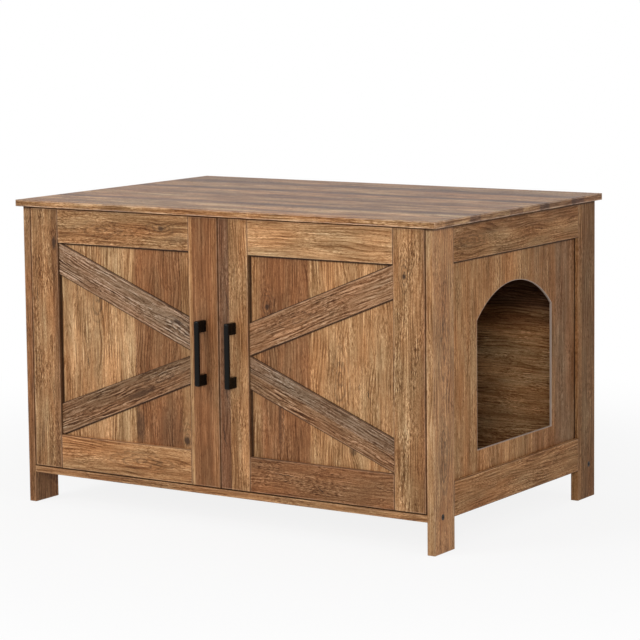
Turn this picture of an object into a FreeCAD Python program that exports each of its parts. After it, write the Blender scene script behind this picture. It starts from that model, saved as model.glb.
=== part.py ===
import FreeCAD, Part
import os
import re
import Sketcher

# Litter box cabinet: a board top on two framed sides, an inset pair of braced doors,
# and an arched entrance in the right side. +X is right, +Y goes in from the doors, +Z is up.
# The origin lies on the floor, at the middle of the whole footprint with the handles.

doc = FreeCAD.newDocument("litter_box_cabinet")

# Driving sizes, in millimetres and degrees.
drivingSizes = {
    # the whole cabinet
    "totalHeight": 565, "bodyWidth": 880, "bodyDepth": 580,
    "topThickness": 12, "frontOverhang": 10, "backOverhang": 10, "sideOverhang": 10,
    "floorClearance": 56, "bottomThickness": 12,
    # side frames: a leg at each end, two rails and a thin panel
    "legThickness": 15, "legDepth": 65, "topRailHeight": 63.5, "bottomRailHeight": 61,
    "sidePanelThickness": 4, "sidePanelRecess": 7,
    # arched entrance in the right side panel
    "archWidth": 268, "archSillHeight": 155, "archSideHeight": 224.5, "archRise": 55.5,
    # back panel in grooves
    "backPanelThickness": 4, "backPanelInset": 8, "backTongue": 5,
    # panel tongues and grooves of the side frames and the doors
    "tongueDepth": 8, "grooveEndGap": 1, "grooveFaceGap": 0.2,
    # doors
    "doorThickness": 15, "doorSideGap": 2, "doorTopGap": 2, "doorBottomGap": 2,
    "doorMiddleGap": 2, "stileWidth": 62.5, "doorRailHeight": 62.5,
    "doorPanelThickness": 4, "doorPanelRecess": 7,
    "braceThickness": 3.5, "braceEndHeight": 57.5, "braceGap": 1, "leftBraceTrim": 8.5,
    # pull handles
    "handleReach": 24.5, "handleWidth": 10, "handleBarDepth": 5, "handlePitch": 96,
    "handlePostHeight": 20.5, "handleCorner": 3, "handleChamfer": 1.5,
    "handleScrewRadius": 2, "handleScrewBite": 10, "handleScrewHeadRadius": 4,
    "handleScrewHead": 2.5, "handleHoleGap": 0.2,
    # wooden dowels
    "dowelRadius": 3, "dowelLength": 30, "dowelEdge": 16, "dowelPitch": 28,
    "dowelEndGap": 0.5, "dowelFit": 0.05, "topDowelInset": 25, "topDowelBite": 8,
    "topDowelLength": 28,
    # cam locks between the side frames and the top
    "camRadius": 7.5, "camDepth": 12, "camInset": 60, "camDrop": 24, "camFit": 0.1,
    "camBoltRadius": 2.5, "camBoltBite": 9, "camBoltHeadRadius": 3.4, "camBoltHead": 3,
    "camChannelRadius": 3.7, "camSlotLength": 9, "camSlotWidth": 1.5, "camSlotDepth": 1.5,
    # long screws through the legs into the bottom board
    "frameScrewFront": 27, "frameScrewRear": 22, "frameScrewHeadRadius": 5,
    "frameScrewHead": 2.6, "frameScrewSink": 0.3, "frameScrewShankRadius": 3,
    "frameScrewThreadRadius": 2.4, "frameScrewBite": 35, "frameScrewSocket": 2.3,
    "frameScrewSocketDepth": 1.8,
    # concealed hinges: the cup in the door, the link and the arm on the leg
    "hingeInset": 90, "cupEdge": 22.5, "cupRadius": 17.5, "cupDepth": 11.5, "cupWall": 1.2,
    "cupFloor": 1, "cupFit": 0.1, "flangeInner": 14.5, "flangeOuter": 36.5,
    "flangeHalfHeight": 31, "flangeThickness": 1.2, "cupNotchHalfHeight": 6,
    "cupNotchDepth": 2.5, "cupScrewEdge": 28.5, "cupScrewPitch": 48,
    "armPivotEdge": 28, "armPivotDepth": 24, "cupPivotEdge": 10, "cupPivotDepth": 8.3,
    "linkBendEdge": 19.8, "linkBendDepth": 6.86, "linkHalfHeight": 5.2, "linkWidth": 3.8,
    "linkArmEyeRadius": 3.2, "linkCupEyeRadius": 2.6, "linkForkRadius": 6,
    "armHalfHeight": 3.6, "armWidth": 5.2, "armKneeEdge": 22, "armKneeDepth": 28,
    "armHeelEdge": 5, "armHeelDepth": 41, "armFootFront": 39, "armFootRear": 62,
    "armFootThickness": 5, "forkGap": 0.2, "armPinRadius": 1.25, "cupPinRadius": 0.98,
    "cupPinHalfLength": 11.1, "pinPlay": 0.06, "pinFit": 0.02,
    "plateThickness": 2, "plateFront": 44, "plateRear": 60, "plateHalfHeight": 26,
    "plateScrewDepth": 52, "plateScrewPitch": 32,
    # small wood screws of the hinges and catches
    "screwRadius": 1.6, "screwBite": 10, "screwHeadRadius": 3.4, "screwHead": 1.4,
    "screwHoleGap": 0.2, "screwFit": 0.02,
    # push-in strike plates and magnetic catches
    "catchEdge": 11, "catchLength": 40, "catchDepth": 14, "catchHeight": 14, "catchGap": 0.3,
    "catchScrewInset": 6, "strikeLength": 28, "strikeHeight": 9, "strikeThickness": 1.2,
    "strikeTopInset": 2, "strikePinRadius": 1.5, "strikePinLength": 8,
}

# Places that follow from the driving sizes.
derivedSizes = {
    "legHeight": "totalHeight - topThickness",
    "frontY": "(handleReach - bodyDepth - backOverhang) / 2",
    "rearY": "frontY + bodyDepth",
    "outerX": "bodyWidth / 2",
    "innerX": "outerX - legThickness",
    "railFrontY": "frontY + legDepth",
    "railRearY": "rearY - legDepth",
    "topRailLow": "legHeight - topRailHeight",
    "bottomRailHigh": "floorClearance + bottomRailHeight",
    "boardHigh": "floorClearance + bottomThickness",
    "grooveDepth": "tongueDepth + grooveEndGap",
    "backGrooveDepth": "backTongue + grooveEndGap",
    "sidePanelOuterX": "outerX - sidePanelRecess",
    "sidePanelInnerX": "sidePanelOuterX - sidePanelThickness",
    "backPanelRearY": "rearY - backPanelInset",
    "backPanelFrontY": "backPanelRearY - backPanelThickness",
    "doorOuterX": "innerX - doorSideGap",
    "doorInnerX": "doorMiddleGap / 2",
    "doorLow": "boardHigh + doorBottomGap",
    "doorHigh": "legHeight - doorTopGap",
    "doorMiddle": "(doorLow + doorHigh) / 2",
    "doorBackY": "frontY + doorThickness",
    "openLow": "doorLow + doorRailHeight",
    "openHigh": "doorHigh - doorRailHeight",
    "openInnerX": "doorInnerX + stileWidth",
    "openOuterX": "doorOuterX - stileWidth",
    "doorPanelFrontY": "frontY + doorPanelRecess",
    "doorPanelRearY": "doorPanelFrontY + doorPanelThickness",
    "handleX": "doorInnerX + stileWidth / 2",
    "handleHalf": "(handlePitch + handlePostHeight) / 2",
    "archRadius": "(archWidth * archWidth / 4 + archRise * archRise) / (2 * archRise)",
    "archSpringHeight": "archSillHeight + archSideHeight",
    "archCentreHeight": "archSpringHeight + archRise - archRadius",
    "archMiddleY": "(frontY + rearY) / 2",
    "camZ": "legHeight - camDrop",
    "frameMiddleX": "outerX - legThickness / 2",
    "frameScrewZ": "floorClearance + bottomThickness / 2",
    "cupX": "doorOuterX - cupEdge",
    "cupBottomY": "doorBackY - cupDepth",
    "armPivotX": "doorOuterX - armPivotEdge",
    "armPivotY": "frontY + armPivotDepth",
    "cupPivotX": "doorOuterX - cupPivotEdge",
    "cupPivotY": "frontY + cupPivotDepth",
    "linkBendX": "doorOuterX - linkBendEdge",
    "linkBendY": "frontY + linkBendDepth",
    "armKneeX": "doorOuterX - armKneeEdge",
    "armKneeY": "frontY + armKneeDepth",
    "armHeelX": "doorOuterX - armHeelEdge",
    "armHeelY": "frontY + armHeelDepth",
    "plateInnerX": "innerX - plateThickness",
    "plateScrewY": "frontY + plateScrewDepth",
    "cupScrewX": "doorOuterX - cupScrewEdge",
    "flangeRearY": "doorBackY + flangeThickness",
    "catchInnerX": "doorInnerX + catchEdge",
    "catchOuterX": "catchInnerX + catchLength",
    "catchFrontY": "doorBackY + strikeThickness + catchGap",
    "catchMiddleX": "catchInnerX + catchLength / 2",
    "catchLow": "legHeight - catchHeight",
    "strikeHigh": "doorHigh - strikeTopInset",
    "strikeZ": "strikeHigh - strikeHeight / 2",
}

sheet = doc.addObject("Spreadsheet::Sheet", "Sizes")
sizeWord = re.compile(r"\b(" + "|".join(list(drivingSizes) + list(derivedSizes)) + r")\b")
for row, (word, amount) in enumerate(drivingSizes.items(), 1):
    sheet.set("A%d" % row, word)
    sheet.set("B%d" % row, str(amount))
    sheet.setAlias("B%d" % row, word)
for row, (word, formula) in enumerate(derivedSizes.items(), 1):
    sheet.set("C%d" % row, word)
    sheet.setAlias("D%d" % row, word)
    sheet.set("D%d" % row, "=" + formula)
doc.recompute()

subparts = []
sides = {"left": -1, "right": 1}
closeEnough = 0.01  # two places nearer than this are the same place


def fromSheet(formula):
    return sizeWord.sub(r"Sizes.\1", formula)


def bind(thing, field, formula):
    # ties one property to the size sheet
    thing.setExpression(field, fromSheet(formula))


def present(formula):
    # what a formula comes to with the sizes that the sheet holds now
    return float(sheet.evalExpression(fromSheet(formula)))


def mirror(side, span):
    # a low and high place counted outwards from the middle, set on the left or right side
    low, high = span
    return (low, high) if side > 0 else ("-(%s)" % high, "-(%s)" % low)


def outward(side, place):
    return place if side > 0 else "-(%s)" % place


def keep(piece, label):
    piece.Label = label
    subparts.append(piece)
    return piece


def box(x, y, z):
    # a block between low and high places on each axis
    block = doc.addObject("Part::Box", "block")
    for field, axis, (low, high) in zip(("Length", "Width", "Height"), "xyz", (x, y, z)):
        bind(block, field, "(%s) - (%s)" % (high, low))
        bind(block, "Placement.Base." + axis, low)
    return block


rodTurns = {
    "x": FreeCAD.Rotation(FreeCAD.Vector(0, 1, 0), 90),
    "y": FreeCAD.Rotation(FreeCAD.Vector(1, 0, 0), -90),
    "z": FreeCAD.Rotation(),
}


def rod(axis, span, across, radius):
    # a round bar along one axis; across gives its centre on the other two, in x, y, z order
    bar = doc.addObject("Part::Cylinder", "rod")
    bar.Placement.Rotation = rodTurns[axis]
    bind(bar, "Radius", radius)
    bind(bar, "Height", "(%s) - (%s)" % (span[1], span[0]))
    others = iter(across)
    for name in "xyz":
        bind(bar, "Placement.Base." + name, span[0] if name == axis else next(others))
    return bar


def strip(start, end, width, z):
    # a straight flat bar from one place to another, seen from above
    (startX, startY), (endX, endY) = start, end
    reach = "sqrt(((%s) - (%s))^2 + ((%s) - (%s))^2)" % (endX, startX, endY, startY)
    angle = "atan2((%s) - (%s); (%s) - (%s))" % (endY, startY, endX, startX)
    bar = doc.addObject("Part::Box", "strip")
    bind(bar, "Length", reach)
    bind(bar, "Width", width)
    bind(bar, "Height", "(%s) - (%s)" % (z[1], z[0]))
    bar.Placement.Rotation = FreeCAD.Rotation(FreeCAD.Vector(0, 0, 1), 1)
    bind(bar, "Placement.Rotation.Angle", angle)
    bind(bar, "Placement.Base.x", "(%s) + (%s) / 2 * sin(%s)" % (startX, width, angle))
    bind(bar, "Placement.Base.y", "(%s) - (%s) / 2 * cos(%s)" % (startY, width, angle))
    bind(bar, "Placement.Base.z", z[0])
    return bar


def joined(shapes):
    if len(shapes) == 1:
        return shapes[0]
    fuse = doc.addObject("Part::MultiFuse", "joined")
    fuse.Shapes = shapes
    return fuse


def carved(base, tools):
    if not tools:
        return base
    cut = doc.addObject("Part::Cut", "carved")
    cut.Base = base
    cut.Tool = joined(tools)
    return cut


def grouped(solids):
    group = doc.addObject("Part::Compound", "group")
    group.Links = solids
    return group


def newBody(name, role):
    # a body with one sketch on one of its own origin planes
    body = doc.addObject("PartDesign::Body", name)
    plane = [part for part in body.Origin.OriginFeatures if part.Role == role][0]
    sketch = body.newObject("Sketcher::SketchObject", name + "_outline")
    sketch.AttachmentSupport = [(plane, "")]
    sketch.MapMode = "FlatFace"
    return body, sketch


def pinPoint(sketch, line, end, place):
    # holds a point of a line or arc at a place given from the sketch's origin
    for kind, formula in zip(("DistanceX", "DistanceY"), place):
        if formula:
            distance = Sketcher.Constraint(kind, -1, 1, line, end, present(formula))
            bind(sketch, "Constraints[%d]" % sketch.addConstraint(distance), formula)


def point(place):
    return FreeCAD.Vector(present(place[0]), present(place[1]), 0)


def drawLoop(sketch, corners):
    # a closed outline of straight lines through corners given from the sketch's origin
    first = sketch.GeometryCount
    count = len(corners)
    for i, place in enumerate(corners):
        line = Part.LineSegment(point(place), point(corners[(i + 1) % count]))
        sketch.addGeometry(line, False)
    for i, place in enumerate(corners):
        after = first + (i + 1) % count
        sketch.addConstraint(Sketcher.Constraint("Coincident", first + i, 2, after, 1))
        pinPoint(sketch, first + i, 1, place)


def padded(body, sketch, thickness, backwards=False):
    pad = body.newObject("PartDesign::Pad", body.Name + "_pad")
    pad.Profile = sketch
    pad.Reversed = backwards
    bind(pad, "Length", thickness)
    sketch.Visibility = False
    return pad


def board(label, x, y, z, tools=()):
    return keep(carved(box(x, y, z), list(tools)), label)


# ---- side frames: legs, rails and panels ----

zero = "0"
frameX = ("innerX", "outerX")
railRanges = {
    "bottom": ("floorClearance", "bottomRailHigh"),
    "top": ("topRailLow", "legHeight"),
}
dowelHeights = {
    "bottom": ("floorClearance + dowelEdge", "floorClearance + dowelEdge + dowelPitch"),
    "top": ("legHeight - dowelEdge", "legHeight - dowelEdge - dowelPitch"),
}
sidePanelGrooveX = ("sidePanelInnerX - grooveFaceGap", "sidePanelOuterX + grooveFaceGap")
backGrooveY = ("backPanelFrontY - grooveFaceGap", "backPanelRearY + grooveFaceGap")
halfDowelHole = "(dowelLength / 2 + dowelEndGap)"
dowelHole = "dowelRadius + dowelFit"
hingeHeights = ("doorLow + hingeInset", "doorHigh - hingeInset")
plateScrewSteps = ("- plateScrewPitch / 2", "+ plateScrewPitch / 2")
frameScrewPlaces = {"front": "frontY + frameScrewFront", "rear": "rearY - frameScrewRear"}
jointPlaces = {"front": "railFrontY", "rear": "railRearY"}
camPlaces = ("railFrontY + camInset", "railRearY - camInset")
topDowelPlaces = ("railFrontY + topDowelInset", "railRearY - topDowelInset")


def edgeDowelHoles(side, jointY, heights, into):
    # holes for the dowels in an end, cut into the leg or into the rail from the joint
    near, far = jointY, "%s %s %s" % (jointY, into, halfDowelHole)
    span = (near, far) if into == "+" else (far, near)
    middle = outward(side, "frameMiddleX")
    return [rod("y", span, (middle, height), dowelHole) for height in heights]


def makeLeg(name, side, end):
    front = end == "front"
    y = ("frontY", "railFrontY") if front else ("railRearY", "rearY")
    jointY = jointPlaces[end]
    grooveY = (jointY + " - grooveDepth", jointY) if front else (jointY, jointY + " + grooveDepth")
    grooveZ = ("bottomRailHigh - grooveDepth", "topRailLow + grooveDepth")
    tools = [box(mirror(side, sidePanelGrooveX), grooveY, grooveZ)]
    for heights in dowelHeights.values():
        tools += edgeDowelHoles(side, jointY, heights, "-" if front else "+")
    screwAt = (frameScrewPlaces[end], "frameScrewZ")
    tools.append(rod("x", mirror(side, frameX), screwAt, "frameScrewShankRadius + screwHoleGap"))
    headX = ("outerX - frameScrewSink - frameScrewHead", "outerX")
    tools.append(rod("x", mirror(side, headX), screwAt, "frameScrewHeadRadius + screwHoleGap"))
    if front:
        for height in hingeHeights:
            for step in plateScrewSteps:
                x = ("innerX", "innerX + screwBite")
                at = ("plateScrewY", height + step)
                tools.append(rod("x", mirror(side, x), at, "screwRadius + screwFit"))
    else:
        x = ("innerX", "innerX + backGrooveDepth")
        z = ("boardHigh - backGrooveDepth", "legHeight")
        tools.append(box(mirror(side, x), backGrooveY, z))
    board(name + "_" + end + "_leg", mirror(side, frameX), y, (zero, "legHeight"), tools)


def makeRail(name, side, level):
    low, high = railRanges[level]
    grooveZ = (low, low + " + grooveDepth") if level == "top" else (high + " - grooveDepth", high)
    tools = [box(mirror(side, sidePanelGrooveX), ("railFrontY", "railRearY"), grooveZ)]
    tools += edgeDowelHoles(side, "railFrontY", dowelHeights[level], "+")
    tools += edgeDowelHoles(side, "railRearY", dowelHeights[level], "-")
    if level == "top":
        middle = outward(side, "frameMiddleX")
        for y in camPlaces:
            camX = ("innerX", "innerX + camDepth + camFit")
            tools.append(rod("x", mirror(side, camX), (y, "camZ"), "camRadius + camFit"))
            tools.append(rod("z", ("camZ", "legHeight"), (middle, y), "camChannelRadius"))
        for y in topDowelPlaces:
            z = ("legHeight + topDowelBite - topDowelLength - dowelEndGap", "legHeight")
            tools.append(rod("z", z, (middle, y), dowelHole))
    name = "%s_side_%s_rail" % (name, level)
    board(name, mirror(side, frameX), ("railFrontY", "railRearY"), (low, high), tools)


sidePanelY = ("railFrontY - tongueDepth", "railRearY + tongueDepth")
sidePanelZ = ("bottomRailHigh - tongueDepth", "topRailLow + tongueDepth")


def makeArchedPanel(label):
    # thin panel with a segmental arch: two straight sides and one arc over them
    body, sketch = newBody(label, "YZ_Plane")
    (frontEdge, rearEdge), (lowEdge, highEdge) = sidePanelY, sidePanelZ
    drawLoop(sketch, [(frontEdge, lowEdge), (rearEdge, lowEdge),
                      (rearEdge, highEdge), (frontEdge, highEdge)])
    left, right = "archMiddleY - archWidth / 2", "archMiddleY + archWidth / 2"
    corners = [(left, "archSpringHeight"), (left, "archSillHeight"),
               (right, "archSillHeight"), (right, "archSpringHeight")]
    crown = ("archMiddleY", "archSpringHeight + archRise")
    first = sketch.GeometryCount
    for start, end in zip(corners, corners[1:]):
        sketch.addGeometry(Part.LineSegment(point(start), point(end)), False)
    arch = Part.Arc(point(corners[-1]), point(crown), point(corners[0]))
    arc = sketch.addGeometry(arch, False)
    for line, place in enumerate(corners, first):
        after = first if line == arc else line + 1
        sketch.addConstraint(Sketcher.Constraint("Coincident", line, 2, after, 1))
        pinPoint(sketch, line, 1, place)
    pinPoint(sketch, arc, 3, (None, "archCentreHeight"))
    padded(body, sketch, "sidePanelThickness")
    bind(body, "Placement.Base.x", "sidePanelInnerX")
    keep(body, label)


for name, side in sides.items():
    for end in jointPlaces:
        makeLeg(name, side, end)
    for level in railRanges:
        makeRail(name, side, level)
board("left_side_panel", mirror(-1, ("sidePanelInnerX", "sidePanelOuterX")),
      sidePanelY, sidePanelZ)
makeArchedPanel("right_side_panel")

# ---- top, bottom and back ----

topTools = [box(("-innerX - backGrooveDepth", "innerX + backGrooveDepth"), backGrooveY,
                ("legHeight", "legHeight + backGrooveDepth"))]
bottomTools = [box(("-innerX", "innerX"), backGrooveY,
                   ("boardHigh - backGrooveDepth", "boardHigh"))]
for name, side in sides.items():
    middle = outward(side, "frameMiddleX")
    for y in camPlaces:
        z = ("legHeight", "legHeight + camBoltBite + dowelEndGap")
        topTools.append(rod("z", z, (middle, y), "camBoltRadius + screwFit"))
    for y in topDowelPlaces:
        z = ("legHeight", "legHeight + topDowelBite + dowelEndGap")
        topTools.append(rod("z", z, (middle, y), dowelHole))
    for x in ("catchInnerX + catchScrewInset", "catchOuterX - catchScrewInset"):
        at = (outward(side, x), "catchFrontY + catchDepth / 2")
        z = ("legHeight", "legHeight + screwBite - screwHead")
        topTools.append(rod("z", z, at, "screwRadius + screwFit"))
    for y in frameScrewPlaces.values():
        x = ("innerX - frameScrewBite", "innerX")
        at = (y, "frameScrewZ")
        bottomTools.append(rod("x", mirror(side, x), at, "frameScrewThreadRadius + screwFit"))

board("top_panel", ("-outerX - sideOverhang", "outerX + sideOverhang"),
      ("frontY - frontOverhang", "rearY + backOverhang"), ("legHeight", "totalHeight"), topTools)
board("bottom_panel", ("-innerX", "innerX"), ("frontY", "rearY"),
      ("floorClearance", "boardHigh"), bottomTools)
board("back_panel", ("-innerX - backTongue", "innerX + backTongue"),
      ("backPanelFrontY", "backPanelRearY"),
      ("boardHigh - backTongue", "legHeight + backTongue"))

# ---- fasteners of the carcass ----

frameDowels, topDowels, camBolts, camLocks, frameScrews = [], [], [], [], []
catches, catchScrews = [], []
for side in sides.values():
    middle = outward(side, "frameMiddleX")
    for jointY in jointPlaces.values():
        for heights in dowelHeights.values():
            for height in heights:
                y = (jointY + " - dowelLength / 2", jointY + " + dowelLength / 2")
                frameDowels.append(rod("y", y, (middle, height), "dowelRadius"))
    for y in topDowelPlaces:
        z = ("legHeight + topDowelBite - topDowelLength", "legHeight + topDowelBite")
        topDowels.append(rod("z", z, (middle, y), "dowelRadius"))
    for y in camPlaces:
        head = rod("z", ("camZ - camBoltHead", "camZ"), (middle, y), "camBoltHeadRadius")
        shaft = rod("z", ("camZ", "legHeight + camBoltBite"), (middle, y), "camBoltRadius")
        camBolts.append(joined([head, shaft]))
        drum = rod("x", mirror(side, ("innerX", "innerX + camDepth")), (y, "camZ"), "camRadius")
        channel = rod("z", ("camZ - camBoltHead - camFit", "camZ + camRadius"), (middle, y),
                      "camChannelRadius")
        slot = box(mirror(side, ("innerX", "innerX + camSlotDepth")),
                   (y + " - camSlotLength / 2", y + " + camSlotLength / 2"),
                   ("camZ - camSlotWidth / 2", "camZ + camSlotWidth / 2"))
        camLocks.append(carved(drum, [channel, slot]))
    for y in frameScrewPlaces.values():
        at = (y, "frameScrewZ")
        headX = ("outerX - frameScrewSink - frameScrewHead", "outerX - frameScrewSink")
        head = rod("x", mirror(side, headX), at, "frameScrewHeadRadius")
        shank = rod("x", mirror(side, ("innerX", headX[0])), at, "frameScrewShankRadius")
        thread = rod("x", mirror(side, ("innerX - frameScrewBite", "innerX")), at,
                     "frameScrewThreadRadius")
        socket = doc.addObject("Part::Prism", "socket")
        socket.Polygon = 6
        socket.Placement.Rotation = rodTurns["x"]
        bind(socket, "Circumradius", "frameScrewSocket")
        bind(socket, "Height", "frameScrewSocketDepth")
        depth = ("outerX - frameScrewSink - frameScrewSocketDepth", "outerX - frameScrewSink")
        bind(socket, "Placement.Base.x", mirror(side, depth)[0])
        bind(socket, "Placement.Base.y", y)
        bind(socket, "Placement.Base.z", "frameScrewZ")
        frameScrews.append(carved(joined([head, shank, thread]), [socket]))
    catchY = ("catchFrontY", "catchFrontY + catchDepth")
    catchBlock = box(mirror(side, ("catchInnerX", "catchOuterX")), catchY, ("catchLow", "legHeight"))
    holes = []
    for x in ("catchInnerX + catchScrewInset", "catchOuterX - catchScrewInset"):
        at = (outward(side, x), "catchFrontY + catchDepth / 2")
        z = ("catchLow", "legHeight")
        holes.append(rod("z", z, at, "screwRadius + screwHoleGap"))
        head = rod("z", ("catchLow - screwHead", "catchLow"), at, "screwHeadRadius")
        shank = rod("z", ("catchLow", "legHeight + screwBite - 2 * screwHead"), at, "screwRadius")
        catchScrews.append(joined([head, shank]))
    catches.append(carved(catchBlock, holes))

keep(grouped(frameDowels), "side_frame_dowels")
keep(grouped(topDowels), "top_dowels")
keep(grouped(camBolts), "cam_bolts")
keep(grouped(camLocks), "cam_locks")
keep(grouped(frameScrews), "bottom_screws")
keep(grouped(catches), "magnetic_catches")
keep(grouped(catchScrews), "catch_screws")

# ---- doors ----

doorZ = ("doorLow", "doorHigh")
doorY = ("frontY", "doorBackY")
doorMiddleY = "(frontY + doorBackY) / 2"
doorRailRanges = {"bottom": ("doorLow", "openLow"), "top": ("openHigh", "doorHigh")}
doorDowelHeights = {
    "bottom": ("doorLow + dowelEdge", "doorLow + dowelEdge + dowelPitch"),
    "top": ("doorHigh - dowelEdge", "doorHigh - dowelEdge - dowelPitch"),
}
doorGrooveY = ("doorPanelFrontY - grooveFaceGap", "doorPanelRearY + grooveFaceGap")
handleHeights = ("doorMiddle - handlePitch / 2", "doorMiddle + handlePitch / 2")
cupScrewSteps = ("- cupScrewPitch / 2", "+ cupScrewPitch / 2")


def doorDowelHoles(side, jointX, heights, into):
    near, far = jointX, "%s %s %s" % (jointX, into, halfDowelHole)
    span = mirror(side, (near, far) if into == "+" else (far, near))
    return [rod("x", span, (doorMiddleY, height), dowelHole) for height in heights]


def makeStile(name, side, place):
    inner = place == "inner"
    x = ("doorInnerX", "openInnerX") if inner else ("openOuterX", "doorOuterX")
    jointX = "openInnerX" if inner else "openOuterX"
    grooveX = (jointX + " - grooveDepth", jointX) if inner else (jointX, jointX + " + grooveDepth")
    grooveZ = ("openLow - grooveDepth", "openHigh + grooveDepth")
    tools = [box(mirror(side, grooveX), doorGrooveY, grooveZ)]
    for heights in doorDowelHeights.values():
        tools += doorDowelHoles(side, jointX, heights, "-" if inner else "+")
    if inner:
        for height in handleHeights:
            at = (outward(side, "handleX"), height)
            tools.append(rod("y", doorY, at, "handleScrewRadius + handleHoleGap"))
        y = ("doorBackY - strikePinLength - dowelEndGap", "doorBackY")
        at = (outward(side, "catchMiddleX"), "strikeZ")
        tools.append(rod("y", y, at, "strikePinRadius + screwFit"))
    else:
        for height in hingeHeights:
            at = (outward(side, "cupX"), height)
            y = ("cupBottomY - cupFit", "doorBackY")
            tools.append(rod("y", y, at, "cupRadius + cupFit"))
            for step in cupScrewSteps:
                at = (outward(side, "cupScrewX"), height + step)
                y = ("doorBackY - screwBite", "doorBackY")
                tools.append(rod("y", y, at, "screwRadius + screwFit"))
    board("%s_door_%s_stile" % (name, place), mirror(side, x), doorY, doorZ, tools)


def makeDoorRail(name, side, level):
    low, high = doorRailRanges[level]
    openX = ("openInnerX", "openOuterX")
    grooveZ = (low, low + " + grooveDepth") if level == "top" else (high + " - grooveDepth", high)
    tools = [box(mirror(side, openX), doorGrooveY, grooveZ)]
    tools += doorDowelHoles(side, "openInnerX", doorDowelHeights[level], "+")
    tools += doorDowelHoles(side, "openOuterX", doorDowelHeights[level], "-")
    board("%s_door_%s_rail" % (name, level), mirror(side, openX), doorY, (low, high), tools)


def makeBrace(name, side, level):
    # a slanted strip from the panel's outer corner to the middle of the inner stile
    half = "braceGap / 2"
    if level == "upper":
        outer = ("openHigh - braceEndHeight", "openHigh")
        inner = ("doorMiddle + " + half, "doorMiddle + %s + braceEndHeight" % half)
    else:
        outer = ("openLow", "openLow + braceEndHeight")
        trim = " - leftBraceTrim" if name == "left" else ""
        inner = ("doorMiddle - %s - braceEndHeight" % half, "doorMiddle - %s%s" % (half, trim))
    innerX, outerX = outward(side, "openInnerX"), outward(side, "openOuterX")
    label = "%s_door_%s_brace" % (name, level)
    body, sketch = newBody(label, "XZ_Plane")
    drawLoop(sketch, [(innerX, inner[0]), (outerX, outer[0]), (outerX, outer[1]),
                      (innerX, inner[1])])
    padded(body, sketch, "braceThickness")
    bind(body, "Placement.Base.y", "doorPanelFrontY")
    keep(body, label)


def frontEdges(shape, height):
    # names the edges of a pull's front face whose middles lie so far above or below its own
    found = []
    for number, edge in enumerate(shape.Edges, 1):
        middle = edge.CenterOfMass
        offFront, offHeight = middle.y + sheet.handleReach, abs(middle.z) - height
        if max(abs(offFront), abs(offHeight)) < closeEnough:
            found.append("Edge%d" % number)
    return found


def makeHandle(name, side):
    # a square pull: a bar on two posts, with rounded ends and chamfered long edges
    label = name + "_handle"
    body, sketch = newBody(label + "_pull", "YZ_Plane")
    front, gap, back = "-handleReach", "handleBarDepth - handleReach", "0"
    post = "handleHalf - handlePostHeight"
    drawLoop(sketch, [(back, "-handleHalf"), (front, "-handleHalf"), (front, "handleHalf"),
                      (back, "handleHalf"), (back, post), (gap, post),
                      (gap, "-(%s)" % post), (back, "-(%s)" % post)])
    pad = padded(body, sketch, "handleWidth")
    doc.recompute()
    corner = body.newObject("PartDesign::Fillet", label + "_corners")
    corner.Base = (pad, frontEdges(pad.Shape, sheet.handleHalf))
    bind(corner, "Radius", "min(handleCorner; handleBarDepth - handleChamfer)")
    doc.recompute()
    chamfer = body.newObject("PartDesign::Chamfer", label + "_edges")
    chamfer.Base = (corner, frontEdges(corner.Shape, 0))
    bind(chamfer, "Size", "min(handleChamfer; handleWidth / 3)")
    bind(body, "Placement.Base.x", outward(side, "handleX") + " - handleWidth / 2")
    bind(body, "Placement.Base.y", "frontY")
    bind(body, "Placement.Base.z", "doorMiddle")
    holes = []
    for height in handleHeights:
        y = ("frontY - handleScrewBite - dowelEndGap", "frontY")
        holes.append(rod("y", y, (outward(side, "handleX"), height), "handleScrewRadius + screwFit"))
    keep(carved(body, holes), label)


def makeHandleScrews(name, side):
    screws = []
    for height in handleHeights:
        at = (outward(side, "handleX"), height)
        shank = rod("y", ("frontY - handleScrewBite", "doorBackY"), at, "handleScrewRadius")
        head = rod("y", ("doorBackY", "doorBackY + handleScrewHead"), at, "handleScrewHeadRadius")
        screws.append(joined([shank, head]))
    keep(grouped(screws), name + "_handle_screws")


def makeDoor(name, side):
    for place in ("outer", "inner"):
        makeStile(name, side, place)
    for level in doorRailRanges:
        makeDoorRail(name, side, level)
    panelX = mirror(side, ("openInnerX - tongueDepth", "openOuterX + tongueDepth"))
    board(name + "_door_panel", panelX, ("doorPanelFrontY", "doorPanelRearY"),
          ("openLow - tongueDepth", "openHigh + tongueDepth"))
    for level in ("upper", "lower"):
        makeBrace(name, side, level)
    makeHandle(name, side)
    makeHandleScrews(name, side)
    dowels = []
    for jointX in ("openInnerX", "openOuterX"):
        for heights in doorDowelHeights.values():
            x = mirror(side, (jointX + " - dowelLength / 2", jointX + " + dowelLength / 2"))
            dowels += [rod("x", x, (doorMiddleY, height), "dowelRadius") for height in heights]
    keep(grouped(dowels), name + "_door_dowels")
    plateX = ("catchMiddleX - strikeLength / 2", "catchMiddleX + strikeLength / 2")
    plate = box(mirror(side, plateX), ("doorBackY", "doorBackY + strikeThickness"),
                ("strikeHigh - strikeHeight", "strikeHigh"))
    pin = rod("y", ("doorBackY - strikePinLength", "doorBackY"),
              (outward(side, "catchMiddleX"), "strikeZ"), "strikePinRadius")
    keep(joined([plate, pin]), name + "_strike_plate")


for name, side in sides.items():
    makeDoor(name, side)

# ---- concealed hinges: two to a door, with their pivots on shared upright axes ----


def around(height, half):
    return ("%s - %s" % (height, half), "%s + %s" % (height, half))


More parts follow.
